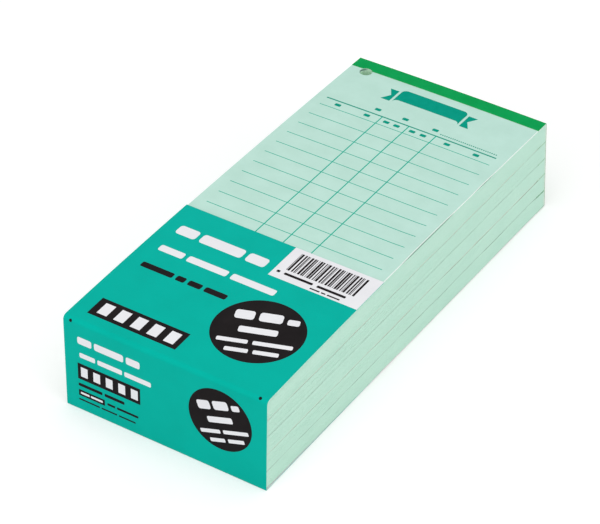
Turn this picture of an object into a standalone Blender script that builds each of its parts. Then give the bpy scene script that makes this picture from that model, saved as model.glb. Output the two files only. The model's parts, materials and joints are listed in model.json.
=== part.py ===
"""Pack of guest check pads, stacked and held at the near end by a printed wrap.

Metres, +Z up. X runs across the pads and Y along them, from the wrapped end to the taped spine. The
origin is the middle of the pack's footprint, on the surface that it lies on. Each pad is a backing
board, a block of leaves with the front leaf on it, a strip of glue along the spine and a tape folded
over the spine. A punched hole near one spine corner goes through the whole stack.
"""

import math

import bmesh
import bpy

MM = 0.001

# Pads
PAD_COUNT = 5
PAD_WIDTH = 75.0 * MM
PAD_LENGTH = 177.0 * MM  # near edge of the leaves to the outside of the spine tape
BOARD_THICKNESS = 0.45 * MM
LEAVES_PRESSED = 5.46 * MM  # leaf block of a pad that lies under another
LEAVES_LOOSE = 8.16 * MM  # leaf block of the top pad at the wrap's far edge, where nothing presses it
LEAVES_NEAR = 7.06 * MM  # leaf block of the top pad at its near edge, which the wrap pulls down
LEAVES_SPINE = 6.7 * MM  # leaf block of the top pad at its spine, where the binding holds it
NEAR_EDGE_RADIUS = 4.0 * MM  # rounding of the top pad's upper leaves under the wrap's fold
FRONT_LEAF_THICKNESS = 0.08 * MM
FRONT_LEAF_BEND = 50.0  # degrees that the top pad's front leaf follows the rounding
GLUE_THICKNESS = 0.3 * MM

# Binding tape
TAPE_THICKNESS = 0.12 * MM
TAPE_FLAP = 6.0 * MM  # strip on the front and on the back, from the outside of the spine
TAPE_CREASE = 0.2 * MM  # inside radius where the tape folds over the spine

# Hanging hole
HOLE_DIAMETER = 4.5 * MM
HOLE_FROM_LEFT = 6.6 * MM  # hole centre to the pads' left edge
HOLE_FROM_SPINE = 7.3 * MM  # hole centre to the outside of the spine tape

# Wrap
WRAP_THICKNESS = 0.2 * MM
WRAP_TOP_PANEL = 67.6 * MM  # from the leaves' near edge to the panel's far edge
WRAP_UNDER_PANEL = 67.6 * MM
WRAP_OVERHANG = 0.25 * MM  # past the pads on each side
WRAP_FOLD = 2.2 * MM  # inside radius of the soft fold over the top pad's near edge
WRAP_CREASE = 0.5 * MM  # inside radius of the fold at the underside

# Clearances
FIT = 0.1 * MM  # between glued pieces of one pad
PAD_GAP = 0.2 * MM  # between the tapes of two pads
WRAP_GAP = 0.2 * MM  # between the wrap and what it covers
CUT_MARGIN = 5.0 * MM  # how far the hole's cutter runs past the stack

# Steps of the rounded lines
EDGE_STEPS = 6
RISE_STEPS = 10
FALL_STEPS = 8
CREASE_STEPS = 3
HOLE_SIDES = 32

# Heights inside a pad, from the underside of its board
LEAVES_BASE = BOARD_THICKNESS + FIT
SPINE_BUILD = PAD_LENGTH - TAPE_THICKNESS - FIT  # near edge to the outside of the glue
LEAF_LENGTH = SPINE_BUILD - GLUE_THICKNESS - FIT
TAPE_STEP = FIT + TAPE_THICKNESS  # how far a tape flap stands off the leaf or board under it

# Places of the stack
FRONT_LEAF_RAISE = FIT + FRONT_LEAF_THICKNESS
WRAP_RAISE = FRONT_LEAF_RAISE + WRAP_GAP + WRAP_THICKNESS / 2  # leaves to the middle of the wrap
NEAR_EDGE = (WRAP_RAISE + WRAP_THICKNESS / 2 - PAD_LENGTH) / 2
STACK_BASE = WRAP_THICKNESS + WRAP_GAP
WRAP_WIDTH = PAD_WIDTH + 2 * WRAP_OVERHANG

COLOURS = {
    "leaf_paper": ("BFE3D2", 0.85),
    "printed_leaf_paper": ("BFE0D4", 0.85),
    "grey_board": ("BFB1A4", 0.9),
    "padding_glue": ("E9EDE4", 0.4),
    "binding_tape": ("00A050", 0.6),
    "wrap_film": ("00B3A1", 0.45),
}


def linear(channel):
    """Linear value of an sRGB channel between 0 and 1."""
    if channel <= 0.04045:
        return channel / 12.92
    return ((channel + 0.055) / 1.055) ** 2.4


def make_materials():
    """One Principled material for each kind of sheet, tape and glue."""
    made = {}
    for name, (colour, roughness) in COLOURS.items():
        channels = [linear(int(colour[i:i + 2], 16) / 255.0) for i in (0, 2, 4)]
        made[name] = bpy.data.materials.new(name)
        made[name].use_nodes = True
        shader = made[name].node_tree.nodes["Principled BSDF"]
        shader.inputs["Base Color"].default_value = (*channels, 1.0)
        shader.inputs["Roughness"].default_value = roughness
        shader.inputs["Metallic"].default_value = 0.0
    return made


def new_collection(name):
    made = bpy.data.collections.new(name)
    bpy.context.scene.collection.children.link(made)
    return made


def place(obj, name, collection, material=None, parent=None):
    """Name an object and give it its collection, material and parent."""
    obj.name = name
    for old in list(obj.users_collection):
        old.objects.unlink(obj)
    collection.objects.link(obj)
    obj.parent = parent
    if material:
        obj.data.materials.append(material)
    return obj


def object_from(bm):
    """Object that holds a finished bmesh."""
    mesh = bpy.data.meshes.new("mesh")
    bm.to_mesh(mesh)
    bm.free()
    return bpy.data.objects.new("piece", mesh)


def slab(length, height, near=0.0, base=0.0):
    """Box as wide as a pad, from its near edge and its underside."""
    bpy.ops.mesh.primitive_cube_add(size=1.0)
    box = bpy.context.object
    box.scale = (PAD_WIDTH, length, height)
    bpy.ops.object.transform_apply(scale=True)
    box.location = (0.0, near + length / 2, base + height / 2)
    return box


def side_extrusion(outline):
    """Solid as wide as a pad with a closed outline of (y, z) points."""
    bm = bmesh.new()
    face = bm.faces.new([bm.verts.new((-PAD_WIDTH / 2, y, z)) for y, z in outline])
    grown = bmesh.ops.extrude_face_region(bm, geom=[face])["geom"]
    far_side = [part for part in grown if isinstance(part, bmesh.types.BMVert)]
    bmesh.ops.translate(bm, verts=far_side, vec=(PAD_WIDTH, 0.0, 0.0))
    bmesh.ops.recalc_face_normals(bm, faces=bm.faces)
    return object_from(bm)


def bent_sheet(line, width, thickness):
    """Sheet whose middle follows a line of (y, z) points: a strip drawn out along X and thickened."""
    bm = bmesh.new()
    points = [bm.verts.new((-width / 2, y, z)) for y, z in line]
    edges = [bm.edges.new(pair) for pair in zip(points, points[1:])]
    grown = bmesh.ops.extrude_edge_only(bm, edges=edges)["geom"]
    far_side = [part for part in grown if isinstance(part, bmesh.types.BMVert)]
    bmesh.ops.translate(bm, verts=far_side, vec=(width, 0.0, 0.0))
    sheet = object_from(bm)
    solidify = sheet.modifiers.new("thickness", "SOLIDIFY")
    solidify.thickness = thickness
    solidify.offset = 0.0
    solidify.use_even_offset = True
    return sheet


def arc(centre, radius, start, end, steps):
    """Points of an arc in (y, z), with angles in degrees from +Y towards +Z."""
    points = []
    for step in range(steps + 1):
        angle = math.radians(start + (end - start) * step / steps)
        points.append((centre[0] + radius * math.cos(angle), centre[1] + radius * math.sin(angle)))
    return points


def top_surface(base, raised, radius, start=180.0):
    """Line over the top pad's leaves, which stand on base, raised off them by a set distance.

    It goes round the near edge at a radius, from an angle, then climbs along a parabola to the wrap's
    far edge, where the leaves reach their loose height.
    """
    near_top = base + LEAVES_NEAR
    centre = (radius - raised, near_top + raised - radius)
    line = arc(centre, radius, start, 90.0, EDGE_STEPS)
    for step in range(1, RISE_STEPS + 1):
        share = step / RISE_STEPS
        climb = (LEAVES_LOOSE - LEAVES_NEAR) * (1.0 - (1.0 - share) ** 2)
        y = NEAR_EDGE_RADIUS + share * (WRAP_TOP_PANEL - NEAR_EDGE_RADIUS)
        line.append((y, near_top + raised + climb))
    return line


def leaf_height(loose, y):
    """Height of a pad's leaves behind the wrap: even, or on top falling along a parabola to the spine."""
    if not loose:
        return LEAVES_PRESSED
    share = (y - WRAP_TOP_PANEL) / (LEAF_LENGTH - WRAP_TOP_PANEL)
    return LEAVES_LOOSE - (LEAVES_LOOSE - LEAVES_SPINE) * share**2


def spine_surface(base, raised):
    """Line over the top pad's leaves that goes on from top_surface to the spine."""
    line = []
    for step in range(1, FALL_STEPS + 1):
        y = WRAP_TOP_PANEL + (LEAF_LENGTH - WRAP_TOP_PANEL) * step / FALL_STEPS
        line.append((y, base + raised + leaf_height(True, y)))
    return line


def leaf_block(loose):
    """Block of leaves: a plain box under other pads, a swollen one with a round near edge on top."""
    if not loose:
        return slab(LEAF_LENGTH, LEAVES_PRESSED, base=LEAVES_BASE)
    surface = top_surface(LEAVES_BASE, 0.0, NEAR_EDGE_RADIUS) + spine_surface(LEAVES_BASE, 0.0)
    return side_extrusion([(0.0, LEAVES_BASE)] + surface + [(LEAF_LENGTH, LEAVES_BASE)])


def front_leaf(loose):
    """The printed leaf on the block, which bends with the top pad's near edge and falls to its spine."""
    if not loose:
        return slab(LEAF_LENGTH, FRONT_LEAF_THICKNESS, base=LEAVES_BASE + LEAVES_PRESSED + FIT)
    raised = FIT + FRONT_LEAF_THICKNESS / 2
    surface = top_surface(LEAVES_BASE, raised, NEAR_EDGE_RADIUS + raised, 90.0 + FRONT_LEAF_BEND)
    return bent_sheet(surface + spine_surface(LEAVES_BASE, raised), PAD_WIDTH, FRONT_LEAF_THICKNESS)


def pad_height(loose, y):
    """Board, leaves and front leaf together at a place behind the wrap, without the tape."""
    return LEAVES_BASE + leaf_height(loose, y) + FRONT_LEAF_RAISE


def binding_tape(loose):
    """Tape folded over the spine, from a strip on the front leaf to one under the board."""
    radius = TAPE_CREASE + TAPE_THICKNESS / 2
    off = FIT + TAPE_THICKNESS / 2
    fold = PAD_LENGTH - TAPE_THICKNESS / 2 - radius
    free_edge = PAD_LENGTH - TAPE_FLAP
    upper = arc((fold, pad_height(loose, fold) + off - radius), radius, 90.0, 0.0, CREASE_STEPS)
    lower = arc((fold, radius - off), radius, 0.0, -90.0, CREASE_STEPS)
    line = [(free_edge, pad_height(loose, free_edge) + off)] + upper + lower + [(free_edge, -off)]
    return bent_sheet(line, PAD_WIDTH, TAPE_THICKNESS)


def end_wrap(top_pad_base):
    """Wrap over the near end: the top panel, a round fold, the end panel and the underside panel."""
    top = top_surface(top_pad_base + LEAVES_BASE, WRAP_RAISE, WRAP_FOLD + WRAP_THICKNESS / 2)
    radius = WRAP_CREASE + WRAP_THICKNESS / 2
    under = WRAP_THICKNESS / 2
    crease = arc((radius - WRAP_RAISE, under + radius), radius, 180.0, 270.0, CREASE_STEPS)
    line = top[::-1] + crease + [(WRAP_UNDER_PANEL, under)]
    return bent_sheet(line, WRAP_WIDTH, WRAP_THICKNESS)


def hole_cutter(stack_height):
    """Round cutter through the whole stack at the hanging hole."""
    bpy.ops.mesh.primitive_cylinder_add(
        vertices=HOLE_SIDES, radius=HOLE_DIAMETER / 2, depth=stack_height + 2 * CUT_MARGIN)
    cutter = bpy.context.object
    hole_y = NEAR_EDGE + PAD_LENGTH - HOLE_FROM_SPINE
    cutter.location = (HOLE_FROM_LEFT - PAD_WIDTH / 2, hole_y, stack_height / 2)
    cutter.hide_render = True
    cutter.display_type = "WIRE"
    return cutter


def punch(obj, cutter):
    """Cut the hanging hole through a piece."""
    cut = obj.modifiers.new("hanging_hole", "BOOLEAN")
    cut.operation = "DIFFERENCE"
    cut.solver = "EXACT"
    cut.object = cutter


def build_pad(number, base, loose, parts, cutter, materials):
    """All pieces of one pad, under an empty at its near edge on the underside of its board."""
    origin = bpy.data.objects.new(f"pad_{number}_origin", None)
    parts.objects.link(origin)
    origin.location = (0.0, NEAR_EDGE, base)
    glue_height = pad_height(loose, SPINE_BUILD)
    pieces = {
        "backing_board": (slab(LEAF_LENGTH, BOARD_THICKNESS), "grey_board"),
        "leaf_block": (leaf_block(loose), "leaf_paper"),
        "front_leaf": (front_leaf(loose), "printed_leaf_paper"),
        "spine_glue": (slab(GLUE_THICKNESS, glue_height, near=LEAF_LENGTH + FIT), "padding_glue"),
        "binding_tape": (binding_tape(loose), "binding_tape"),
    }
    for name, (piece, material) in pieces.items():
        place(piece, f"pad_{number}_{name}", parts, materials[material], origin)
        if name != "spine_glue":
            punch(piece, cutter)


def main():
    for old in list(bpy.data.objects):
        bpy.data.objects.remove(old, do_unlink=True)
    parts = new_collection("guest_check_pads")
    cutters = new_collection("cutters")
    materials = make_materials()

    pitch = pad_height(False, LEAF_LENGTH) + 2 * TAPE_STEP + PAD_GAP
    bases = [STACK_BASE + number * pitch for number in range(PAD_COUNT)]
    stack_height = bases[-1] + pad_height(True, WRAP_TOP_PANEL)
    cutter = place(hole_cutter(stack_height), "hole_cutter", cutters)

    for number, base in enumerate(bases, start=1):
        build_pad(number, base, number == PAD_COUNT, parts, cutter, materials)

    wrap = place(end_wrap(bases[-1]), "end_wrap", parts, materials["wrap_film"])
    wrap.location = (0.0, NEAR_EDGE, 0.0)


main()
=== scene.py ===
"""Looks of a pack of guest check pads: five taped pads of mint green leaves under a printed end wrap."""

import json
import math

import bpy
import numpy as np
from mathutils import Matrix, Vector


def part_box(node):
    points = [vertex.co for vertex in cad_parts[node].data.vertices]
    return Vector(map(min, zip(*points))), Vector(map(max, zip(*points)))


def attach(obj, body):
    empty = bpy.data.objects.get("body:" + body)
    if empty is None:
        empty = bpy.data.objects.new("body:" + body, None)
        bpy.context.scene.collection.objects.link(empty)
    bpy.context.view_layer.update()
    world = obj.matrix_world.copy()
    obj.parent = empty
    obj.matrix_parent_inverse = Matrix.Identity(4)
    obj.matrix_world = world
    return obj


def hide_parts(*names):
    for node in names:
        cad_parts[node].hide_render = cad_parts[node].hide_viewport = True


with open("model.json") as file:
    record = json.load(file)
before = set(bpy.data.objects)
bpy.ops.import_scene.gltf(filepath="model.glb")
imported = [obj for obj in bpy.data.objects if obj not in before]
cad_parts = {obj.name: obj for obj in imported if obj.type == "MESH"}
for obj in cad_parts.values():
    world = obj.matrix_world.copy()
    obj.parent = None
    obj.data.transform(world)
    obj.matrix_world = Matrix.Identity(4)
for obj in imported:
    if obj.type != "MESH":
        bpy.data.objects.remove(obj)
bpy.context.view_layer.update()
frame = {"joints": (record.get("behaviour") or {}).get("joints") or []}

MM = 0.001
rng = np.random.default_rng(20)

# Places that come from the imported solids
PADS = (1, 2, 3, 4, 5)
TOP_PAD = PADS[-1]
BOARD_BASE = [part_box(f"pad_{pad}_backing_board")[0].z for pad in PADS]
LEAF_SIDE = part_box("pad_5_leaf_block")[1].x
LEAF_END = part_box("pad_5_leaf_block")[1].y
TAPE_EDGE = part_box("pad_5_binding_tape")[0].y
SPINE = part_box("pad_5_binding_tape")[1].y
WRAP_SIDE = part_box("end_wrap")[1].x
WRAP_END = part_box("end_wrap")[0].y
WRAP_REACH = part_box("end_wrap")[1].y
WRAP_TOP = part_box("end_wrap")[1].z
SPINE_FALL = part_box("pad_5_front_leaf")[1].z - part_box("pad_5_spine_glue")[1].z
TRAVEL = max(joint["range_m"][1] for joint in frame["joints"])

# Leaves, board, tape and glue
LEAVES = 100
LEAF_JITTER = 0.013 * MM
LEAF_DRIFT = 0.018 * MM
DRIFT_TURNS = (1.0, 2.5)  # least and most waves of the drift over a pad's height
BOUND_SHARE = 0.5  # of a leaf's sideways step, left at the spine
FORM_SHEET = 0.06 * MM
# Width of the strip along the front leaf's right edge that takes the painted highlight
HIGHLIGHT_STRIP = 0.24 * MM
BOARD = 0.3 * MM
BOARD_LEVELS = (0.0, 0.25, 0.75, 1.0)  # shares of the board's thickness
BOARD_INSETS = (0.05 * MM, 0.0, 0.0, 0.05 * MM)
TAPE = 0.11 * MM
TAPE_BEND = 0.2 * MM
TUCK = 0.125 * MM
TUCK_RUN = 1.2 * MM
TOP_TUCK = 0.3  # of the tuck, on the top pad
PLY_GAP = 0.008 * MM
GLUE_SIDE = 0.998 * LEAF_SIDE
BRUSH_DEPTH = 0.05 * MM
BRUSH_MARK = 1.7 * MM
BRUSH_SLANT = 3.0  # radians over a pad's height, as the next
BRUSH_ROWS = 7.0

# How the stack lies: ripples, slits between pads, sag, lean, and the top pad's crown and gape
RIPPLE = np.array([0.07, 0.07, 0.05]) * MM
RIPPLE_TURN = 25.0  # most radians per metre of width
LOWEST_RIPPLE = 0.5  # of the ripples, on the lowest pad
SLIT = 0.022 * MM
NEAR_OPEN = np.array([0.1, 0.06, 0.07, 0.1, 0.0]) * MM
SPINE_OPEN = np.array([0.22, 0.18, 0.02, 0.02, 0.0]) * MM
SLIT_LENGTHS = np.array([47.0, 29.0, 17.0]) * MM
SLIT_LEAST = 0.2  # of a slit's width, where it is most closed
SLIT_SWING = 0.7  # sum of sines at which a slit is fully open
SLIT_DEPTH = 0.3  # of the half width, over which slits fade out
SAG = 0.2 * MM
SAG_RUN = 20.0 * MM
LEAN = 1.4 * MM
SET_BACK = 1.2 * MM
CROWN = 0.3 * MM
CROWN_START = 5.0 * MM
CROWN_RUN = 45.0 * MM
GAPE = 0.75 * MM
GAPE_LIFT = 0.35  # of the gape, by which the front leaf rises
GAPE_RUN = 9.0 * MM
GAPE_EASE = 9.0 * MM
GAPING = [(-11.0 * MM, 27.0 * MM, 1.0), (36.0 * MM, 54.0 * MM, 0.8)]

# Hanging hole
HOLE_RADIUS = 2.25 * MM
HOLE_X = -LEAF_SIDE + 6.6 * MM
HOLE_Y = SPINE - 7.3 * MM
HOLE_SQUARE = 3.1 * MM
HOLE_STEPS = 8
HOLE_RINGS = np.array([0.4, 0.75, 1.0])  # shares of the way from the square to the circle
HOLE_DIP = 0.8 * MM
DIP_RUN = 4.2 * MM
DIP_SPREAD = 1.2

# End wrap, and the pressed near end of the top pad under it
FILM = 0.2 * MM
FILM_GAP = 0.05 * MM
EDGE_RADIUS = 1.4 * MM
CREASE = 0.3 * MM
NEAR_FALL = 1.1 * MM
NEAR = WRAP_END + FILM + FILM_GAP
LEVEL_TOP = WRAP_TOP - FILM - FILM_GAP
FOLD_RADIUS = EDGE_RADIUS + FILM + FILM_GAP
FOLD_Y = NEAR + EDGE_RADIUS
FOLD_Z = LEVEL_TOP - NEAR_FALL - EDGE_RADIUS

# Ink
INK_LIFT = 0.004 * MM
INK = 0.012 * MM
INK_LAYER = 0.018 * MM
INK_CELL = 2.5 * MM
BAR_ROUND = 0.25  # of a bar's height


# Meshes as points, quads and face groups
def grid_quads(rows, columns):
    """Corner numbers of a grid's quads, with points numbered row by row: each quad runs
    along the columns first, then up a row."""
    corner = np.arange(rows * columns).reshape(rows, columns)
    around = [corner[:-1, :-1], corner[:-1, 1:], corner[1:, 1:], corner[1:, :-1]]
    return np.stack(around, axis=-1).reshape(-1, 4)


def rim_of(quads):
    """Points on the rim of a layout, and the rim's edges as pairs of places in that list.
    An edge of the rim belongs to one quad only, and runs the way that the quad takes it."""
    edges = np.concatenate([quads[:, [side, (side + 1) % 4]] for side in range(4)])
    _, same, count = np.unique(np.sort(edges, axis=1), axis=0, return_inverse=True, return_counts=True)
    rim, ends = np.unique(edges[count[same.ravel()] == 1], return_inverse=True)
    return rim, ends.reshape(-1, 2)


def ring_quads(rings, ends):
    """Quads from ring to ring. Each ring is a row of point numbers, and the ends are an
    edge's two columns."""
    start, stop = rings[:, ends[:, 0]], rings[:, ends[:, 1]]
    return np.stack([start[:-1], stop[:-1], stop[1:], start[1:]], axis=-1).reshape(-1, 4)


def lofted(quads, levels):
    """Closed solid through several levels of one flat layout: the first level turned over,
    walls along the layout's rim from level to level, and the last level. Face groups are
    numbered 0 for the underside, 1 for the walls and 2 for the upper side."""
    rim, ends = rim_of(quads)
    count, between = levels.shape[1], levels[1:-1, rim]
    last = count + between.shape[0] * len(rim)
    middle = np.arange(count, last).reshape(-1, len(rim))
    walls = ring_quads(np.concatenate([rim[None], middle, last + rim[None]]), ends)
    points = np.concatenate([levels[0], between.reshape(-1, 3), levels[-1]])
    group = np.repeat([0, 1, 2], [len(quads), len(walls), len(quads)])
    return points, np.concatenate([quads[:, ::-1], walls, quads + last]), group


def lines_between(stops, steps):
    """Grid lines from stop to stop, with a number of equal steps in each stretch."""
    spans = [np.linspace(a, b, n, endpoint=False) for a, b, n in zip(stops, stops[1:], steps)]
    return np.concatenate(spans + [stops[-1:]])


def punched_sheet(x_lines, y_lines):
    """Flat layout of a leaf with the hanging hole: a grid with the square round the hole
    left out, and rings of quads that shrink from that square to the circle."""
    points = np.stack(np.meshgrid(x_lines, y_lines), axis=-1).reshape(-1, 2)
    quads = grid_quads(len(y_lines), len(x_lines))
    hole = np.array([HOLE_X, HOLE_Y])
    in_square = np.all(np.abs(points[quads].mean(axis=1) - hole) < HOLE_SQUARE, axis=1)
    rim, ends = rim_of(quads[in_square])
    outward = points[rim] - hole
    circle = hole + HOLE_RADIUS * outward / np.linalg.norm(outward, axis=1, keepdims=True)
    rings = points[rim] + (circle - points[rim]) * HOLE_RINGS[:, None, None]
    inner = len(points) + np.arange(len(rings) * len(rim)).reshape(-1, len(rim))
    round_hole = ring_quads(np.concatenate([rim[None], inner]), ends)
    used, numbered = np.unique(np.concatenate([quads[~in_square], round_hole]), return_inverse=True)
    return np.concatenate([points, rings.reshape(-1, 2)])[used], numbered.reshape(-1, 4)


def join(parts):
    """Several closed shapes as one: points one after the other, with their faces' numbers moved up."""
    starts = np.cumsum([0] + [len(points) for points, _, _ in parts[:-1]])
    points = np.concatenate([points for points, _, _ in parts])
    quads = np.concatenate([quads + start for (_, quads, _), start in zip(parts, starts)])
    return points, quads, np.concatenate([group for _, _, group in parts])


def ease(value):
    """Smooth step from 0 to 1: three times the square less twice the cube."""
    share = np.clip(value, 0, 1)
    return share * share * (3 - 2 * share)


# Shape of the stack
ripple_phase = rng.uniform(0, 2 * math.pi, (len(PADS), len(RIPPLE)))
ripple_turn = rng.uniform(-RIPPLE_TURN, RIPPLE_TURN, (len(PADS), len(RIPPLE)))
slit_phase = rng.uniform(0, 2 * math.pi, (len(PADS), len(SLIT_LENGTHS)))


def under_pad(pad, x, y):
    """Height of the face that a pad lies on: its CAD height plus three sine ripples along the pad.
    Their lengths are the slide's travel, its half and its third, so that pads nest again at the end of
    the slide. The lowest pad has a share of the ripples, and sags by a smooth step behind the wrap."""
    waves = 2 * math.pi * np.arange(1, len(RIPPLE) + 1) / TRAVEL * np.asarray(y)[..., None]
    angles = waves + ripple_phase[pad - 1] + ripple_turn[pad - 1] * np.asarray(x)[..., None]
    ripples = (RIPPLE * np.sin(angles)).sum(axis=-1)
    if pad == PADS[0]:
        return BOARD_BASE[0] + LOWEST_RIPPLE * ripples - SAG * ease((y - WRAP_REACH) / SAG_RUN)
    return BOARD_BASE[pad - 1] + ripples


def tuck(y):
    """Depth that the tape presses into the paper: a smooth step just in front of the tape's edge."""
    return TUCK * ease((y - TAPE_EDGE + TUCK_RUN) / TUCK_RUN)


def fall(y):
    """How far the top pad lies under its level: a parabola along the wrap's top panel, a quarter circle at
    the near edge, and a parabola from the wrap to the spine, where the binding holds the leaves tight."""
    along = np.clip((y - FOLD_Y) / (WRAP_REACH - FOLD_Y), 0, 1)
    inset = np.clip(FOLD_Y - y, 0, EDGE_RADIUS)
    bound = np.clip((y - WRAP_REACH) / (SPINE - WRAP_REACH), 0, 1)
    edge = EDGE_RADIUS - np.sqrt(EDGE_RADIUS**2 - inset**2)
    return NEAR_FALL * (1 - along) ** 2 + edge + SPINE_FALL * bound**2


def crown(x, y):
    """How far the top pad's far half bulges between its long sides: a parabola across it,
    on a smooth step along it."""
    return CROWN * (1 - (x / LEAF_SIDE) ** 2) * ease((y - CROWN_START) / CROWN_RUN)


def slit(pad, x, y):
    """Air above a pad: an even gap, and slits along its long edges that fade out inwards.
    They go evenly from their width at the near end to that at the spine, and close in part
    where a sum of three sines is low."""
    waves = np.sin(2 * math.pi * np.asarray(y)[..., None] / SLIT_LENGTHS + slit_phase[pad - 1]).sum(axis=-1)
    share = (y - NEAR) / (SPINE - NEAR)
    width = NEAR_OPEN[pad - 1] * (1 - share) + SPINE_OPEN[pad - 1] * share
    opened = SLIT_LEAST + (1 - SLIT_LEAST) * ease((waves / SLIT_SWING + 1) / 2)
    return SLIT + width * opened * ease(1 - (1 - np.abs(x) / LEAF_SIDE) / SLIT_DEPTH)


def leaf_top(pad, x, y):
    """Height of a pad's uppermost plain leaf: under the pad above and its slits, or for the
    top pad its level less the fall, with the crown and a share of the tuck."""
    if pad == TOP_PAD:
        return LEVEL_TOP - fall(y) + crown(x, y) - TOP_TUCK * tuck(y) - FORM_SHEET
    return under_pad(pad + 1, x, y) - slit(pad, x, y) - tuck(y) - FORM_SHEET


def gape(pad, x, y):
    """Gap under the top pad's front leaf along its free right edge: a smooth step up
    towards the edge, in stretches that open and close on smooth steps along it."""
    if pad != TOP_PAD:
        return np.zeros_like(x)
    along = sum(
        share * ease((y - start) / GAPE_EASE) * ease((stop - y) / GAPE_EASE) for start, stop, share in GAPING
    )
    return GAPE * ease(1 - (LEAF_SIDE - x) / GAPE_RUN) * along


def dip(pad, x, y):
    """How far the punch pressed the top pad's leaves down at the hanging hole's left: a
    smooth step towards its rim, times a smooth step round it."""
    if pad != TOP_PAD:
        return np.zeros_like(x)
    reach = np.hypot(x - HOLE_X, y - HOLE_Y)
    return HOLE_DIP * ease(1 - (reach - HOLE_RADIUS) / DIP_RUN) * ease(DIP_SPREAD * (HOLE_X - x) / reach)


def form_top(pad, x, y):
    """Height of the upper face of a pad's printed front leaf, which a share of the gap under it lifts."""
    return leaf_top(pad, x, y) + FORM_SHEET + GAPE_LIFT * gape(pad, x, y)


def leaning(shape):
    """A pad's shape as it leans in the stack: set to the right and back, in proportion to
    its depth under the top and to its distance from the near end."""
    points, quads, group = shape
    share = (1 - points[:, 2] / LEVEL_TOP) * (points[:, 1] - NEAR) / (SPINE - NEAR)
    return points + share[:, None] * (LEAN, SET_BACK, 0), quads, group


# Pieces of a pad, on one flat layout that all its sheets share
edge_lines = NEAR + EDGE_RADIUS * (1 - np.cos(np.linspace(0, math.pi / 2, 9)))
hole_sides = [HOLE_X - HOLE_SQUARE, HOLE_X + HOLE_SQUARE]
hole_ends = [HOLE_Y - HOLE_SQUARE, HOLE_Y + HOLE_SQUARE]
x_stops = [-LEAF_SIDE, *hole_sides, LEAF_SIDE - GAPE_RUN, LEAF_SIDE - HIGHLIGHT_STRIP, LEAF_SIDE]
y_stops = [FOLD_Y, WRAP_REACH, *hole_ends, LEAF_END]
x_lines = lines_between(x_stops, [3, HOLE_STEPS, 10, 9, 1])
y_lines = np.concatenate([edge_lines[:-1], lines_between(y_stops, [18, 44, HOLE_STEPS, 4])])
leaf_layout, leaf_quads = punched_sheet(x_lines, y_lines)


def leaf_block(pad):
    """Block of cut leaves: each leaf is a level pair of the punched layout, at an equal share
    of the height between board and front leaf or the gap under it, set aside by a small random
    step on a slow drift. Towards the glued spine the steps fade, to nothing along the pad and
    to a share across it. Faces in the hanging hole are group 1, and all others group 0."""
    x, y = leaf_layout.T
    low = under_pad(pad, x, y) + BOARD + PLY_GAP
    high = leaf_top(pad, x, y) - PLY_GAP - (1 - GAPE_LIFT) * gape(pad, x, y) - dip(pad, x, y)
    share = np.repeat(np.arange(LEAVES + 1) / LEAVES, 2)[1:-1, None]
    turns = np.linspace(0, 1, LEAVES)[:, None] * rng.uniform(*DRIFT_TURNS, 2)
    drift = np.sin(2 * math.pi * (turns + rng.uniform(0, 1, 2)))
    steps = LEAF_JITTER * rng.standard_normal((LEAVES, 2)) + LEAF_DRIFT * drift
    aside, along = np.repeat(steps, 2, axis=0).T[:, :, None]
    free = (LEAF_END - y) / (LEAF_END - NEAR)
    across = x + aside * (BOUND_SHARE + (1 - BOUND_SHARE) * free)
    levels = np.stack([across, y + np.abs(along) * free, low + (high - low) * share], axis=-1)
    points, quads, group = lofted(leaf_quads, levels)
    from_hole = points[quads].mean(axis=1)[:, :2] - (HOLE_X, HOLE_Y)
    return points, quads, (group == 1) & np.all(np.abs(from_hole) < HOLE_SQUARE, axis=1)


def flat_ply(low, high, shares=(0.0, 1.0), insets=(0.0, 0.0)):
    """Sheet with the hanging hole: its layout at shares of the way from a low to a high
    face, each drawn in from the sheet's outline by its inset."""
    x, y = leaf_layout.T
    share, inset = np.array([shares, insets])[:, :, None]
    levels = [x * (1 - inset / LEAF_SIDE), y * (1 - inset / LEAF_END), low + (high - low) * share]
    return lofted(leaf_quads, np.stack(levels, axis=-1))


def backing_board(pad):
    """Board under the leaves: a punched sheet that follows the ripples, thinner under the
    tape's lower strip, its cut edges worn at both faces."""
    x, y = leaf_layout.T
    under = under_pad(pad, x, y)
    return flat_ply(under + tuck(y) + PLY_GAP, under + BOARD, BOARD_LEVELS, BOARD_INSETS)


def front_leaf(pad):
    """Printed leaf: a punched sheet on the leaf block. The strip along its right edge, painted pale as a
    highlight, is in the walls' group."""
    x, y = leaf_layout.T
    high = form_top(pad, x, y)
    points, quads, group = flat_ply(high - FORM_SHEET, high)
    return points, quads, np.where(points[quads].mean(axis=1)[:, 0] > LEAF_SIDE - HIGHLIGHT_STRIP, 1, group)


def spine_glue(pad):
    """Brushed strip of glue behind the leaves: a box over the pad's height, whose rear face
    swells by a product of sines, so that slanting brush marks run along it."""
    x, up = np.meshgrid(np.linspace(-GLUE_SIDE, GLUE_SIDE, 61), np.linspace(0, 1, 11))
    front, rear = LEAF_END + PLY_GAP, SPINE - TAPE - PLY_GAP
    base = under_pad(pad, x, rear + 0 * x) + TUCK + 2 * PLY_GAP
    top = leaf_top(pad, x, rear + 0 * x)
    marks = np.sin(x / BRUSH_MARK + BRUSH_SLANT * up + pad) * np.sin(BRUSH_ROWS * up + 2 * pad)
    swell = marks * np.sin(math.pi * up)
    faces = [front + 0 * x, rear - BRUSH_DEPTH * (1 - swell)]
    levels = np.stack([np.stack([x, y, base + (top - base) * up], axis=-1) for y in faces])
    return lofted(grid_quads(*x.shape)[:, ::-1], levels.reshape(2, -1, 3))


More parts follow.
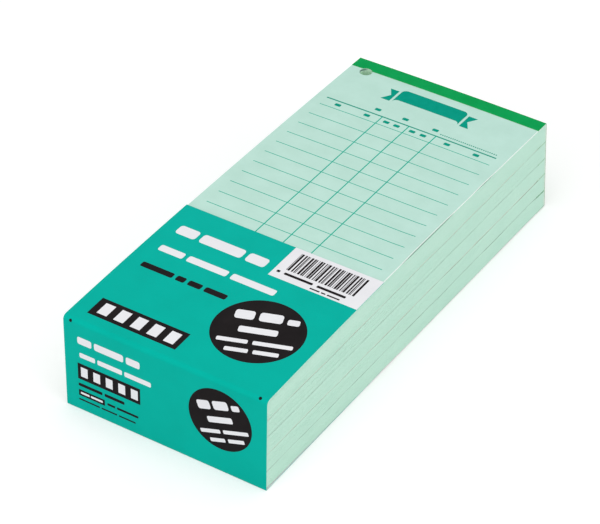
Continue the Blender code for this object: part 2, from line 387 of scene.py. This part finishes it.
def binding_tape(pad):
    """Tape round the spine: a strip carried along a path that runs back over the front
    leaf, down the spine on two quarter circles and forward under the board. The hanging
    hole bites its two free edges in a circle's arc."""
    bite = math.sqrt(HOLE_RADIUS**2 - (TAPE_EDGE - HOLE_Y) ** 2)
    columns = lines_between([-LEAF_SIDE, HOLE_X - bite, HOLE_X + bite, LEAF_SIDE], [3, 12, 22])
    reach = np.sqrt(np.clip(HOLE_RADIUS**2 - (columns - HOLE_X) ** 2, 0, None))
    free_edge = np.maximum(TAPE_EDGE, HOLE_Y + reach)
    bend_start = SPINE - TAPE_BEND
    share = np.linspace(0, 1, 9)[:, None]
    turn = np.linspace(0, math.pi / 2, 7)[1:, None]
    flap_y = free_edge + (bend_start - free_edge) * share
    wide = np.broadcast_to(columns, flap_y.shape)
    surfaces = []
    for inset in (TAPE, 0.0):
        over = form_top(pad, wide, flap_y) + PLY_GAP + TAPE - inset
        under = under_pad(pad, wide, flap_y) + tuck(flap_y) - PLY_GAP - TAPE + inset
        top, base = over[-1], under[-1]
        radius = TAPE_BEND - inset
        path = [
            (flap_y, over),
            (bend_start + radius * np.sin(turn), top - radius * (1 - np.cos(turn))),
            (SPINE - inset, top - radius + (base - top + 2 * radius) * share[1:]),
            (bend_start + radius * np.cos(turn), base + radius * (1 - np.sin(turn))),
            (flap_y[-2::-1], under[-2::-1]),
        ]
        stretches = [np.stack(np.broadcast_arrays(columns, y, z), axis=-1) for y, z in path]
        surfaces.append(np.concatenate(stretches))
    rows = len(surfaces[0])
    return lofted(grid_quads(rows, len(columns)), np.stack(surfaces).reshape(2, -1, 3))


# End wrap, laid out flat: run is the way along the film from the underside's free edge to the top's
UNDER_RUN = WRAP_REACH - WRAP_END - CREASE
CREASE_RUN = UNDER_RUN + CREASE * math.pi / 2
END_RUN = CREASE_RUN + FOLD_Z - CREASE
FOLD_RUN = END_RUN + FOLD_RADIUS * math.pi / 2
TOP_RUN = FOLD_RUN + WRAP_REACH - FOLD_Y


def on_wrap(x, run, lift):
    """Point on the film at a place of its flat layout, and a little above it: forward along
    the underside, round the crease on a quarter circle, up the end, round the fold on a
    quarter circle, and back along the top, which climbs on the top pad's parabola."""
    crease_turn = np.clip((run - UNDER_RUN) / CREASE, 0, math.pi / 2)
    fold_turn = np.clip((run - END_RUN) / FOLD_RADIUS, 0, math.pi / 2)
    back = np.clip(run - FOLD_RUN, 0, None)
    climb = NEAR_FALL * (1 - (1 - back / (WRAP_REACH - FOLD_Y)) ** 2)
    low_y = WRAP_END + CREASE - (CREASE + lift) * np.sin(crease_turn) + np.clip(UNDER_RUN - run, 0, None)
    low_z = CREASE - (CREASE + lift) * np.cos(crease_turn) + np.clip(run - CREASE_RUN, 0, None)
    high_y = FOLD_Y - (FOLD_RADIUS + lift) * np.cos(fold_turn) + back
    high_z = FOLD_Z + (FOLD_RADIUS + lift) * np.sin(fold_turn) + climb
    y = np.where(run > END_RUN, high_y, low_y)
    z = np.where(run > END_RUN, high_z, low_z)
    return np.stack(np.broadcast_arrays(x, y, z), axis=-1)


def on_top(y):
    """Way along the film to a place on the top panel."""
    return FOLD_RUN + y - FOLD_Y


def on_end(z):
    """Way along the film to a height on the end panel."""
    return CREASE_RUN + z - CREASE


def end_wrap():
    """Film of the wrap: the flat layout carried round the near end, once at its inner face
    and once at its outer face."""
    columns = np.linspace(-WRAP_SIDE, WRAP_SIDE, 31)
    rows = lines_between([0.0, UNDER_RUN, CREASE_RUN, END_RUN, FOLD_RUN, TOP_RUN], [16, 6, 14, 14, 34])
    x, run = np.meshgrid(columns, rows)
    levels = np.stack([on_wrap(x, run, -FILM), on_wrap(x, run, 0.0)])
    return lofted(grid_quads(len(rows), len(columns)), levels.reshape(2, -1, 3))


# Flat shapes for ink, each a grid of places
def block(left, right, low, high, step=INK_CELL):
    """Rectangle as a grid whose cells are about one step wide."""
    across = np.linspace(left, right, max(2, math.ceil((right - left) / step) + 1))
    up = np.linspace(low, high, max(2, math.ceil((high - low) / step) + 1))
    return np.meshgrid(across, up)


def disc(x, y, radius, steps):
    """Disc as a grid: the square from -1 to 1 pressed into a circle, each side by the root
    of one less half the other's square."""
    u, v = np.meshgrid(np.linspace(-1, 1, steps + 1), np.linspace(-1, 1, steps + 1))
    return x + radius * u * np.sqrt(1 - v * v / 2), y + radius * v * np.sqrt(1 - u * u / 2)


def rounded_bar(left, right, middle, height):
    """Bar with rounded corners: near its two ends the half height drops on a quarter circle."""
    radius = BAR_ROUND * height
    across = lines_between([left, left + radius, right - radius, right], [6, 4, 6])
    inset = np.clip(1 - np.minimum(across - left, right - across) / radius, 0, 1)
    half = height / 2 - radius * (1 - np.sqrt(1 - inset**2))
    x, up = np.meshgrid(across, np.linspace(-1, 1, 4))
    return x, middle + up * half


def words(left, middle, height, lengths, gap):
    """Row of plain rounded bars, one after the other."""
    starts = left + np.cumsum([0, *(length + gap for length in lengths[:-1])])
    return [rounded_bar(start, start + length, middle, height) for start, length in zip(starts, lengths)]


def ink_film(shape, place, layer):
    """Skin of ink on a surface: a flat shape put on it at two small lifts."""
    lift = INK_LIFT + layer * INK_LAYER
    levels = np.stack([place(*shape, lift), place(*shape, lift + INK)])
    return lofted(grid_quads(*shape[0].shape), levels.reshape(2, -1, 3))


def inked(place, *layers):
    """All ink of one colour on a surface: each layer of flat shapes lies over the one before."""
    return join([ink_film(shape, place, layer) for layer, shapes in enumerate(layers) for shape in shapes])


# Printed form
FORM_LEFT = -33.5 * MM
FORM_RIGHT = 33.7 * MM
HEADER_TOP = 59.77 * MM
FIRST_ROW = 54.95 * MM
ROW_PITCH = 7.014 * MM
ROWS = 20
ROW_RULE = 0.29 * MM
COLUMN_LINES = np.array([-11.0, -0.37, 10.3]) * MM
COLUMN_RULE = 0.4 * MM
HEAD_RULE = 0.58 * MM
HEADINGS = np.array([-27.7, -16.0, -8.2, -4.1, 2.1, 6.4, 15.8, 27.1]) * MM
HEADING_WIDTH = 2.3 * MM
HEADING_HEIGHT = 1.5 * MM
HEADING_Y = 57.5 * MM
DATES = np.array([-14.6, -3.6, 8.3]) * MM
DATES_Y = 62.8 * MM
DOTS_LEFT = 11.1 * MM
DOTS_PITCH = 0.8 * MM
DOTS = 28
DOTS_Y = 61.6 * MM
DOT_RADIUS = 0.28 * MM
RIBBON_LEFT = -13.5 * MM
RIBBON_RIGHT = 12.6 * MM
RIBBON_LOW = 71.84 * MM
RIBBON_HEIGHT = 6.95 * MM
RIBBON_BEND = 1.9 * MM
TAIL_GAP = 0.9 * MM
TAIL_LENGTH = 3.5 * MM
TAIL_NOTCH = 2.2 * MM
TAIL_LOW = 69.8 * MM
TAIL_HEIGHT = 1.04 * RIBBON_HEIGHT


def ribbon_body():
    """Middle of the ribbon: a band of even height that drops on a quarter circle at both ends."""
    across = RIBBON_LEFT + (RIBBON_RIGHT - RIBBON_LEFT) * (1 - np.cos(np.linspace(0, math.pi, 41))) / 2
    near_end = np.minimum(across - RIBBON_LEFT, RIBBON_RIGHT - across)
    inset = np.clip(1 - near_end / RIBBON_BEND, 0, 1)
    x, up = np.meshgrid(across, np.linspace(0, RIBBON_HEIGHT, 5))
    return x, RIBBON_LOW + up - RIBBON_BEND * (1 - np.sqrt(1 - inset**2))


def ribbon_tail(inner, side):
    """Tail of the ribbon: a band whose outer end is cut in a swallow tail, its length less
    a notch that peaks at half height."""
    share, up = np.meshgrid(np.linspace(0, 1, 5), np.linspace(0, 1, 9))
    length = TAIL_LENGTH - TAIL_NOTCH * (1 - np.abs(2 * up - 1))
    x = inner - length * (1 - share) if side < 0 else inner + length * share
    return x, TAIL_LOW + TAIL_HEIGHT * up


def form_rules():
    """Fine rules of the table on a leaf: its rows, and its columns from the last row to the
    header's line."""
    rows = [FIRST_ROW - ROW_PITCH * row for row in range(ROWS)]
    across = [block(FORM_LEFT, FORM_RIGHT, y - ROW_RULE / 2, y + ROW_RULE / 2) for y in rows]
    half = COLUMN_RULE / 2
    return across + [block(x - half, x + half, rows[-1], HEADER_TOP) for x in COLUMN_LINES]


def form_shapes():
    """What is printed solid on a leaf: the header's line, plain bars in place of headings,
    the dotted line and the ribbon."""
    shapes = [block(FORM_LEFT, FORM_RIGHT, HEADER_TOP - HEAD_RULE / 2, HEADER_TOP + HEAD_RULE / 2)]
    places = [(x, HEADING_Y) for x in HEADINGS] + [(x, DATES_Y) for x in DATES]
    half = HEADING_WIDTH / 2
    shapes += [rounded_bar(x - half, x + half, y, HEADING_HEIGHT) for x, y in places]
    shapes += [disc(DOTS_LEFT + DOTS_PITCH * dot, DOTS_Y, DOT_RADIUS, 4) for dot in range(DOTS)]
    tails = [ribbon_tail(RIBBON_LEFT - TAIL_GAP, -1), ribbon_tail(RIBBON_RIGHT + TAIL_GAP, 1)]
    return shapes + [ribbon_body(), *tails]


# Print on the wrap: plain bars and blocks, placed by y on the top panel and by z on the end panel
LABEL_LEFT = 4.8 * MM
LABEL_LOW = -37.35 * MM
TOP_DISC = (17.7 * MM, on_top(-62.75 * MM), 15.15 * MM)
END_DISC = (20.85 * MM, on_end(20.7 * MM), 11.6 * MM)
DISC_TILT = math.radians(19.5)
FOLD_DOTS = np.array([(-35.0, 0.7), (35.0, 1.5)]) * MM
FOLD_DOT_RADIUS = 0.55 * MM

# Rows of bars, in millimetres: left end, middle, height of the bars, their lengths, and the gap between them
TOP_WHITE = [(-32.5, -33.1, 4.6, [7.6, 16.2, 7.4], 1.5), (-32.0, -44.35, 3.0, [9.4, 15.2, 16.5], 1.5)]
END_WHITE = [(-32.6, 28.4, 2.8, [5.4, 11.1, 5.2], 1.0), (-32.0, 22.6, 1.9, [6.0, 9.4, 10.0], 0.9)]
END_WHITE_OVER = [(-32.1, 7.1, 0.8, [3.4, 4.6], 0.5)]
TOP_BLACK = [(-32.0, -54.45, 2.5, [12.2, 3.4, 5.0, 8.2], 1.2)]
END_BLACK = [
    (-32.85, 10.4, 1.2, [9.2, 7.6], 0.9),
    (-21.8, 7.1, 0.9, [3.0, 8.2], 0.7),
    (-32.85, 4.3, 0.6, [8.0, 6.0, 6.4], 0.7),
]
LABEL_BLACK = [(6.1, -34.1, 1.1, [1.2, 10.6, 10.6], 1.6), (19.7, -36.15, 0.6, [3.6, 1.6, 4.6], 0.6)]

# The same for the rows in a disc, in shares of its radius from its middle
DISC_ROWS = [
    (-0.6, 0.46, 0.28, [0.42, 0.5], 0.1),
    (0.52, 0.41, 0.18, [0.26], 0.0),
    (-0.42, 0.0, 0.19, [0.83], 0.0),
    (-0.79, -0.38, 0.12, [0.66, 0.84], 0.1),
    (-0.56, -0.66, 0.12, [0.5, 0.54], 0.1),
]

# Black blocks, in millimetres: left, right, low, high. Signs on them: left end, middle, width, height, pitch
TOP_BLOCK = (-32.2, 0.95, -83.75, -75.2)
END_BLOCK = (-32.9, -9.0, 12.7, 19.1)
SMALL_BLOCK = (-32.85, -22.8, 5.9, 8.3)
TOP_SIGNS = (-29.7, -79.45, 3.7, 5.4, 6.25)
END_SIGNS = (-31.7, 15.9, 2.6, 3.8, 4.8)

# Upright bars on the label, in millimetres: left, right, low, high. Widths and spaces repeat in order
UPRIGHTS = (8.3, 33.5, -32.2, -22.45)
UPRIGHT_COUNT = 30
UPRIGHT_WIDTHS = [1, 4, 3, 2]
UPRIGHT_SPACES = [1, 3, 2]
UPRIGHT_STEP = 6.0 * MM


def panel_block(panel, left, right, low, high, step=INK_CELL):
    """Rectangle on a panel of the wrap, from places in millimetres."""
    return block(left * MM, right * MM, panel(low * MM), panel(high * MM), step)


def panel_words(panel, rows):
    """Rows of bars on a panel of the wrap, from places and sizes in millimetres."""
    shapes = []
    for left, middle, height, lengths, gap in rows:
        shapes += words(left * MM, panel(middle * MM), height * MM, np.array(lengths) * MM, gap * MM)
    return shapes


def disc_words(x, run, radius):
    """Rows of bars in a disc, turned by its tilt."""
    cos, sin = math.cos(DISC_TILT), math.sin(DISC_TILT)
    bars = [bar for row in DISC_ROWS for bar in words(*row)]
    tilted = [(side * cos - up * sin, side * sin + up * cos) for side, up in bars]
    return [(x + radius * side, run + radius * up) for side, up in tilted]


def pad_signs(panel, left, middle, width, height, pitch):
    """Row of small blocks, one for each pad."""
    starts = [left + pitch * place for place in range(len(PADS))]
    return [panel_block(panel, x, x + width, middle - height / 2, middle + height / 2) for x in starts]


def uprights(left, right, low, high):
    """Row of upright bars between two ends, in whole modules of width and space."""
    widths = np.resize(UPRIGHT_WIDTHS, UPRIGHT_COUNT)
    spaces = np.resize(UPRIGHT_SPACES, UPRIGHT_COUNT)
    starts = np.concatenate([[0], np.cumsum(widths + spaces)[:-1]])
    module = (right - left) / (starts[-1] + widths[-1])
    begins, ends = left + starts * module, left + (starts + widths) * module
    return [panel_block(on_top, *sides, low, high, UPRIGHT_STEP) for sides in zip(begins, ends)]


def white_print():
    """White on the wrap: the label and the rows of bars on the film, and what lies on black."""
    on_film = [block(LABEL_LEFT, WRAP_SIDE, on_top(LABEL_LOW), TOP_RUN)]
    on_film += panel_words(on_top, TOP_WHITE) + panel_words(on_end, END_WHITE)
    on_black = disc_words(*TOP_DISC) + disc_words(*END_DISC)
    on_black += pad_signs(on_top, *TOP_SIGNS) + pad_signs(on_end, *END_SIGNS)
    on_black += panel_words(on_end, END_WHITE_OVER)
    return inked(on_wrap, on_film, on_black)


def black_print():
    """Black on the wrap: discs, blocks, rows of bars and two dots at the fold on the film,
    and what lies on the label."""
    on_film = [disc(*TOP_DISC, 28), disc(*END_DISC, 24)]
    on_film += [panel_block(on_top, *TOP_BLOCK)]
    on_film += [panel_block(on_end, *END_BLOCK), panel_block(on_end, *SMALL_BLOCK)]
    on_film += panel_words(on_top, TOP_BLACK) + panel_words(on_end, END_BLACK)
    on_film += [disc(x, END_RUN + up, FOLD_DOT_RADIUS, 6) for x, up in FOLD_DOTS]
    on_label = uprights(*UPRIGHTS) + panel_words(on_top, LABEL_BLACK)
    return inked(on_wrap, on_film, on_label)


# Colours and materials
PAPER_GLOSS = 0.2
FILM_GLOSS = 0.03
GLUE_GLOSS = 0.5
ROUGH_SWING = 0.06
CLOUD_BAND = (0.3, 0.7)
GRAIN_BAND = (0.25, 0.75)


def linear(hex_code):
    """Linear RGBA of an sRGB hex colour."""
    srgb = np.array([int(hex_code[i : i + 2], 16) for i in (0, 2, 4)]) / 255
    return (*np.where(srgb <= 0.04045, srgb / 12.92, ((srgb + 0.055) / 1.055) ** 2.4), 1.0)


def add_node(tree, kind, inputs=None, **settings):
    """A new shader node: settings are its own properties, and each input is a value or the
    output that feeds it."""
    node = tree.nodes.new("ShaderNode" + kind)
    for name, value in settings.items():
        setattr(node, name, value)
    for key, value in (inputs or {}).items():
        if isinstance(value, bpy.types.NodeSocket):
            tree.links.new(value, node.inputs[key])
        else:
            node.inputs[key].default_value = value
    return node


def noise(tree, place, size, detail, roughness):
    """Noise from 0 to 1, with cells of about a size in millimetres."""
    inputs = {"Vector": place, "Scale": 1 / (size * MM), "Detail": detail, "Roughness": roughness}
    return add_node(tree, "TexNoise", inputs).outputs["Fac"]


def ranged(tree, value, before, after):
    """A value carried evenly from one range to another, and held at the other's ends."""
    inputs = {"Value": value}
    inputs.update({"From Min": before[0], "From Max": before[1]})
    inputs.update({"To Min": after[0], "To Max": after[1]})
    return add_node(tree, "MapRange", inputs).outputs["Result"]


def blank_material(name):
    """Material with an empty node tree."""
    material = bpy.data.materials.new(name)
    material.use_nodes = True
    material.node_tree.nodes.clear()
    return material, material.node_tree


def mottled(name, shades, cell, grain, swing, roughness, bump, stretch=(1, 1, 1), gloss=PAPER_GLOSS):
    """Material of an even colour with two patterns on Object coordinates: soft clouds between two
    shades, with cells of a width in millimetres, and a fine grain, which may be stretched along an
    axis. The grain swings the colour and the roughness, and is a bump of its height in millimetres."""
    material, tree = blank_material(name)
    place = add_node(tree, "TexCoord").outputs["Object"]
    drawn = add_node(tree, "Mapping", {"Vector": place, "Scale": stretch}).outputs["Vector"]
    clouds = noise(tree, place, cell, detail=3.0, roughness=0.6)
    fine = noise(tree, drawn, grain, detail=4.0, roughness=0.65)
    shade = ranged(tree, clouds, CLOUD_BAND, (0, 1))
    light = ranged(tree, fine, GRAIN_BAND, (1 - swing, 1 + swing))
    rough = ranged(tree, fine, (0, 1), (roughness - ROUGH_SWING, roughness + ROUGH_SWING))
    # Inputs 6 and 7 of a colour Mix are its two colours, and output 2 is their mix
    colours = {0: shade, 6: linear(shades[0]), 7: linear(shades[1])}
    cloudy = add_node(tree, "Mix", colours, data_type="RGBA")
    colour = add_node(tree, "VectorMath", {0: cloudy.outputs[2], "Scale": light}, operation="SCALE")
    relief = add_node(tree, "Bump", {"Height": fine, "Distance": bump * MM, "Strength": 1.0})
    inputs = {
        "Base Color": colour.outputs["Vector"],
        "Roughness": rough,
        "Normal": relief.outputs["Normal"],
        "Specular IOR Level": gloss,
    }
    surface = add_node(tree, "BsdfPrincipled", inputs)
    add_node(tree, "OutputMaterial", {"Surface": surface.outputs["BSDF"]})
    return material


# Wood-free writing paper, dyed mint in the pulp and calendered: matt, with faint clouds of uneven pulp
form_paper = mottled(
    "mint_writing_paper", ("BADFD2", "C1E5D9"), cell=9.0, grain=0.35, swing=0.018, roughness=0.82, bump=0.004
)

# The same paper cut by a guillotine: leaf edges read as fine streaks along the pad
leaf_edges = mottled(
    "guillotined_leaf_edges", ("BCE0D0", "C1E3D3"), cell=14.0, grain=2.4, swing=0.012, roughness=0.88,
    bump=0.003, stretch=(1, 1, 30),
)

# The top pad's front leaf's cut edges and the strip along its right edge, painted near white: a painted
# highlight along the edge
highlight_edge = mottled(
    "leaf_edge_painted_highlight", ("F0FAF5", "F7FCF9"), cell=3.0, grain=0.3, swing=0.02, roughness=0.85, bump=0.003
)

# Leaf edges in the hanging hole, painted paler than the other leaf edges: painted light that lifts the shade
# inside the hole
hole_edge_painted_light = mottled(
    "hole_leaf_edges_painted_light", ("CBF0D4", "D6F5DD"), cell=2.0, grain=0.4, swing=0.03, roughness=0.9, bump=0.004,
    stretch=(1, 1, 12),
)

# Grey chipboard of recycled pulp: warm grey with dark and light specks
chipboard = mottled(
    "grey_chipboard", ("BBB1A4", "CAC1B5"), cell=1.6, grain=0.22, swing=0.1, roughness=0.9, bump=0.01
)

# Its cut edge, rubbed with paper dust by the blade: in places warm grey, in places nearly the leaves' colour
board_edge = mottled(
    "rubbed_chipboard_edge", ("D8C6BA", "C2E3D4"), cell=7.0, grain=0.22, swing=0.06, roughness=0.9, bump=0.01
)

# A board edge in a grey green darker than the leaves: painted shade of the seam between pads
seam_shade_board_edge = mottled(
    "board_edge_painted_shade", ("A6C3B6", "C4E4D5"), cell=9.0, grain=0.22, swing=0.06, roughness=0.9, bump=0.01
)

# Dyed paper tape with a calendered face: a low sheen over a fine crepe grain across the tape
spine_tape = mottled(
    "green_paper_tape", ("00984C", "06A154"), cell=6.0, grain=0.5, swing=0.05, roughness=0.55, bump=0.006,
    stretch=(0.5, 2, 2), gloss=FILM_GLOSS,
)

# The tape's cut edge, pale: partly the paper core under the dyed face, partly a painted highlight that
# covers the shade line along the tape's free edge
tape_edge_core_and_highlight = mottled(
    "tape_edge_pale_core_and_painted_highlight", ("A9D3B4", "BBDDC4"), cell=2.0, grain=0.3, swing=0.04, roughness=0.85, bump=0.003
)

# Polyvinyl acetate padding glue, brushed on and dried: pale and slightly shiny
padding_glue = mottled(
    "padding_glue", ("E4EADF", "EDF1E8"), cell=3.0, grain=0.4, swing=0.03, roughness=0.4, bump=0.01,
    gloss=GLUE_GLOSS,
)

# Polyethylene film printed solid teal on its face: satin, with a barely uneven ink lay
film_teal = mottled(
    "teal_printed_film", ("00AE9E", "00B3A3"), cell=12.0, grain=0.6, swing=0.012, roughness=0.46, bump=0.002,
    gloss=FILM_GLOSS,
)

# White masterbatch polyethylene film, bare where nothing is printed
film_white = mottled(
    "white_film", ("E8E8EC", "EEEEF1"), cell=10.0, grain=0.6, swing=0.01, roughness=0.46, bump=0.002,
    gloss=FILM_GLOSS,
)

# Black gravure ink on film: dense and a little flatter than the film
film_black = mottled(
    "black_film_ink", ("1A1718", "211D1E"), cell=8.0, grain=0.5, swing=0.04, roughness=0.5, bump=0.002,
    gloss=FILM_GLOSS,
)

# Teal offset ink on paper, drawn into the fibres: matt and slightly broken
form_ink = mottled(
    "teal_form_ink", ("00957E", "089D87"), cell=3.0, grain=0.25, swing=0.07, roughness=0.8, bump=0.003,
    gloss=FILM_GLOSS,
)

# The same ink in a light screen, for the fine rules
rule_ink = mottled(
    "screened_form_ink", ("00AD93", "06B59B"), cell=3.0, grain=0.25, swing=0.05, roughness=0.8, bump=0.003,
    gloss=FILM_GLOSS,
)


# Pieces
SMOOTH_ANGLE = math.radians(35)
RUBBED_BOARDS = (3, 5)


def add_piece(name, body, shape, materials, node=None):
    """A piece with its place in its mesh, riding on a body, in place of a CAD node if one
    is named. One material covers it all, or each face group has its own."""
    points, quads, group = shape
    mesh = bpy.data.meshes.new(name)
    mesh.vertices.add(len(points))
    mesh.vertices.foreach_set("co", points.ravel())
    mesh.loops.add(quads.size)
    mesh.loops.foreach_set("vertex_index", quads.ravel().astype(np.int32))
    mesh.polygons.add(len(quads))
    mesh.polygons.foreach_set("loop_start", np.arange(0, quads.size, 4, dtype=np.int32))
    for material in materials:
        mesh.materials.append(material)
    if len(materials) > 1:
        mesh.polygons.foreach_set("material_index", group.astype(np.int32))
    mesh.update(calc_edges=True)
    mesh.shade_smooth()
    mesh.set_sharp_from_angle(angle=SMOOTH_ANGLE)
    piece = bpy.data.objects.new(name, mesh)
    bpy.context.scene.collection.objects.link(piece)
    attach(piece, body)
    if node:
        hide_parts(node)


def add_pad(pad):
    """A whole pad: leaves, board, front leaf, tape, the form's print and glue, all leaning
    with the stack."""
    body = f"pad_{pad}"
    leaf_faces = [leaf_edges, hole_edge_painted_light]
    # Boards of the pads not listed in RUBBED_BOARDS carry the painted shade of the seam on their edges
    board_faces = [chipboard, board_edge if pad in RUBBED_BOARDS else seam_shade_board_edge, chipboard]
    form_faces = [form_paper, highlight_edge if pad == TOP_PAD else leaf_edges, form_paper]
    tape_faces = [spine_tape, tape_edge_core_and_highlight, spine_tape]

    def on_form(x, y, lift):
        """Point a little above the pad's front leaf."""
        return np.stack([x, y, form_top(pad, x, y) + lift], axis=-1)

    leaves, board, form, tape, glue = (
        leaning(make(pad)) for make in (leaf_block, backing_board, front_leaf, binding_tape, spine_glue)
    )
    rules, printed = (leaning(inked(on_form, shapes)) for shapes in (form_rules(), form_shapes()))
    add_piece(f"{body}_leaves", body, leaves, leaf_faces, f"{body}_leaf_block")
    add_piece(f"{body}_board", body, board, board_faces, f"{body}_backing_board")
    add_piece(f"{body}_form", body, form, form_faces, f"{body}_front_leaf")
    add_piece(f"{body}_tape", body, tape, tape_faces, f"{body}_binding_tape")
    add_piece(f"{body}_form_rules", body, rules, [rule_ink])
    add_piece(f"{body}_form_ink", body, printed, [form_ink])
    add_piece(f"{body}_glue", body, glue, [padding_glue], f"{body}_spine_glue")


for pad in PADS:
    add_pad(pad)
add_piece("wrap_film", "wrap", end_wrap(), [film_white, film_teal, film_teal], "end_wrap")
add_piece("wrap_white_print", "wrap", white_print(), [film_white])
add_piece("wrap_black_print", "wrap", black_print(), [film_black])


# Stage: white floor that keeps the shadow, a white world and three soft boxes
FLOOR_SIDE = 3.0
FLOOR_DROP = 0.02 * MM
FLOOR_GLOW = 0.3
WORLD_LEVEL = 0.66


def seen(tree):
    """1 where a surface is looked at, also in a reflection or through glass, and 0 where it
    only gives light."""
    path = add_node(tree, "LightPath").outputs
    rays = {0: path["Is Camera Ray"], 1: path["Is Glossy Ray"]}
    mirrored = add_node(tree, "Math", rays, operation="MAXIMUM").outputs["Value"]
    rays = {0: mirrored, 1: path["Is Transmission Ray"]}
    return add_node(tree, "Math", rays, operation="MAXIMUM").outputs["Value"]


def stage_floor():
    """Flat floor, well past the view, that glows a little where it is seen."""
    mesh = bpy.data.meshes.new("floor")
    corners = [(-1, -1), (1, -1), (1, 1), (-1, 1)]
    mesh.from_pydata([(FLOOR_SIDE * x, FLOOR_SIDE * y, 0) for x, y in corners], [], [(0, 1, 2, 3)])
    floor = bpy.data.objects.new("floor", mesh)
    floor.location.z = -FLOOR_DROP
    bpy.context.scene.collection.objects.link(floor)
    material, tree = blank_material("white_studio_floor")
    glow = ranged(tree, seen(tree), (0, 1), (0, FLOOR_GLOW))
    diffuse = add_node(tree, "BsdfDiffuse", {"Color": linear("E6E6E6")})
    emission = add_node(tree, "Emission", {"Color": linear("FFFFFF"), "Strength": glow})
    both = add_node(tree, "AddShader", {0: diffuse.outputs["BSDF"], 1: emission.outputs["Emission"]})
    add_node(tree, "OutputMaterial", {"Surface": both.outputs["Shader"]})
    mesh.materials.append(material)


def studio_world():
    """White surround: an even level for light, and plain white where it is seen."""
    world = bpy.data.worlds.new("studio")
    bpy.context.scene.world = world
    world.use_nodes = True
    tree = world.node_tree
    tree.nodes.clear()
    level = ranged(tree, seen(tree), (0, 1), (WORLD_LEVEL, 1))
    surround = add_node(tree, "Background", {"Color": linear("FFFFFF"), "Strength": level})
    add_node(tree, "OutputWorld", {"Surface": surround.outputs["Background"]})


def turned(away, place, roll=0.0):
    """Matrix of a lamp or camera at a place, with its back to a direction, level but for its roll."""
    level = np.cross((0, 0, 1), away)
    level /= np.linalg.norm(level)
    side = level * math.cos(roll) + np.cross(away, level) * math.sin(roll)
    matrix = np.eye(4)
    matrix[:3, :3] = np.stack([side, np.cross(away, side), away], axis=1)
    matrix[:3, 3] = place
    return Matrix(matrix)


def soft_box(name, place, size, level):
    """Square area lamp that faces the pack: its power gives that level of light on a face turned to it."""
    lamp = bpy.data.lights.new(name, "AREA")
    lamp.size = size
    distance = np.linalg.norm(place)
    lamp.energy = level * math.pi**2 * distance**2
    light = bpy.data.objects.new(name, lamp)
    light.matrix_world = turned(np.array(place) / distance, place)
    bpy.context.scene.collection.objects.link(light)


stage_floor()
studio_world()
soft_box("overhead", (0.2, -0.3, 1.6), size=1.4, level=0.27)
soft_box("right", (1.6, -0.3, 0.35), size=1.0, level=0.33)
soft_box("front", (-0.3, -1.6, 0.6), size=1.0, level=0.17)

# Camera at the photograph's angle, fitted to the pack's outline and to the edges of wrap and tape
AZIMUTH = math.radians(31.685)
ELEVATION = math.radians(37.373)
ROLL = math.radians(1.093)
DISTANCE = 0.86839
TARGET = np.array([-1.79, -7.456, 20.0]) * MM
LENS = 158.106
SENSOR = 36.0

level_away = np.array([math.sin(AZIMUTH), -math.cos(AZIMUTH), 0.0])
away = level_away * math.cos(ELEVATION) + (0, 0, math.sin(ELEVATION))
camera = bpy.data.objects.new("camera", bpy.data.cameras.new("camera"))
camera.data.sensor_width = SENSOR
camera.data.lens = LENS
camera.matrix_world = turned(away, TARGET + away * DISTANCE, ROLL)
bpy.context.scene.collection.objects.link(camera)
bpy.context.scene.camera = camera
bpy.context.scene.view_settings.view_transform = "Standard"

bpy.context.view_layer.update()
